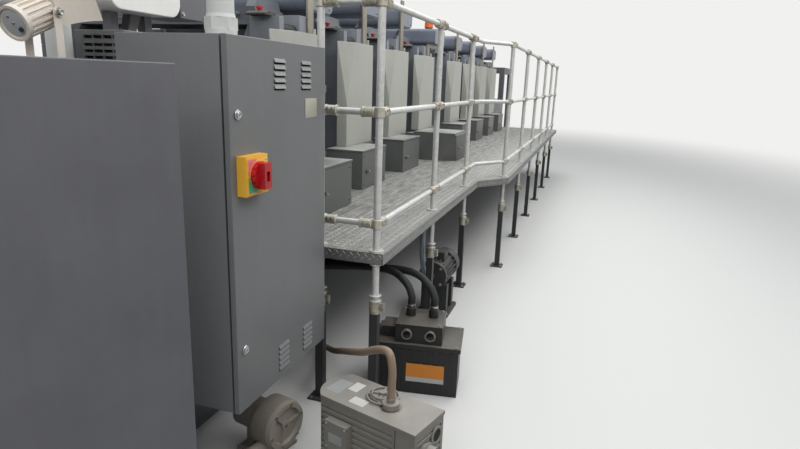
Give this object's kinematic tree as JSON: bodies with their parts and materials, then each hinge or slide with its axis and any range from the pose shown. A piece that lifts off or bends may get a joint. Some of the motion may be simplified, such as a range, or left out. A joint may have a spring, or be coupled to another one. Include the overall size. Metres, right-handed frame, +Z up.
{
  "type": "offset printing press",
  "caption": "Sheet-fed offset printing press with a row of printing units, delivery, feeder, a side walkway with guard rail, an electrical cabinet and vacuum pumps underneath.",
  "frame": {"origin": "on the floor under the press centreline, halfway along the press", "axes": "+X along the press from the delivery to the feeder, -Y towards the drive side with the walkway, +Z up"},
  "size_m": [12.859, 4.0148, 2.285],
  "materials": {
    "dark_paint": "satin",
    "cover_paint": "satin",
    "light_paint": "satin",
    "cast_frame": "satin",
    "machined_steel": "brushed",
    "black_rubber": "matte",
    "red_plastic": "gloss",
    "orange_lens": "gloss",
    "yellow_plastic": "gloss",
    "pallet_wood": "matte",
    "tread_plate": "satin",
    "rail_tube": "satin",
    "black_steel": "matte",
    "cabinet_paint": "satin",
    "white_paint": "satin",
    "cream_plastic": "satin",
    "grey_plastic": "matte",
    "pump_paint": "satin",
    "hose_brown": "matte",
    "hose_grey": "satin"
  },
  "bodies": {
    "press": {"bed_frame": "cast_frame", "levelling_feet": "black_steel", "tower_frames": "cast_frame", "printing_cylinders": "machined_steel", "transfer_drums": "machined_steel", "inking_rollers": "black_rubber", "ink_fountains": "cover_paint", "drive_side_covers": "dark_paint", "operator_side_covers": "dark_paint", "drive_housings": "light_paint", "gear_boxes": "dark_paint", "box_latches": "machined_steel", "recess_rollers": "black_rubber", "estop_panels": "black_steel", "estop_buttons": "red_plastic", "unit_hoods": "cover_paint", "hood_arms": "machined_steel", "gas_struts": "black_steel", "footboards": "tread_plate", "beacon": "orange_lens", "delivery_frame": "dark_paint", "delivery_housing": "dark_paint", "delivery_pile_board": "pallet_wood", "gripper_chains": "machined_steel", "vent_cover": "cabinet_paint", "dryer_hood": "white_paint", "hood_brackets": "dark_paint", "warning_horn": "cream_plastic", "feeder_frame": "dark_paint", "feed_table": "machined_steel", "feed_tapes": "black_rubber", "feeder_pile_board": "pallet_wood", "suction_head": "black_steel", "walkway_deck": "tread_plate", "walkway_legs": "black_steel", "guard_rail": "rail_tube", "rail_clamps": "rail_tube", "operator_walkway": "tread_plate", "cabinet": "cabinet_paint", "cabinet_brackets": "black_steel", "cable_gland": "grey_plastic", "louvred_pump": "pump_paint", "boxed_pump": "black_steel", "blower": "pump_paint", "finned_motor": "black_steel", "pump_hose": "hose_brown", "suction_hoses": "black_rubber", "air_hose": "hose_grey"},
    "delivery_door": {"delivery_door": "dark_paint"},
    "cabinet_door": {"cabinet_door": "cabinet_paint", "isolator_base": "yellow_plastic"},
    "isolator_handle": {"isolator_handle": "red_plastic"}
  },
  "joints": [
    {"name": "delivery_door_hinge", "type": "hinge", "parent": "press", "child": "delivery_door", "pos_m": [-6.5, -1.243, 0.92], "axis": [0, 0, 1], "range_deg": [-90, 23.4]},
    {"name": "cabinet_door_hinge", "type": "hinge", "parent": "press", "child": "cabinet_door", "pos_m": [-4.697, -1.688, 1.07], "axis": [0, 0, 1], "range_deg": [0, 50]},
    {"name": "isolator_turn", "type": "hinge", "parent": "cabinet_door", "child": "isolator_handle", "pos_m": [-5.2635, -1.7, 1.2625], "axis": [0, -1, 0], "range_deg": [-90, 0]}
  ]
}
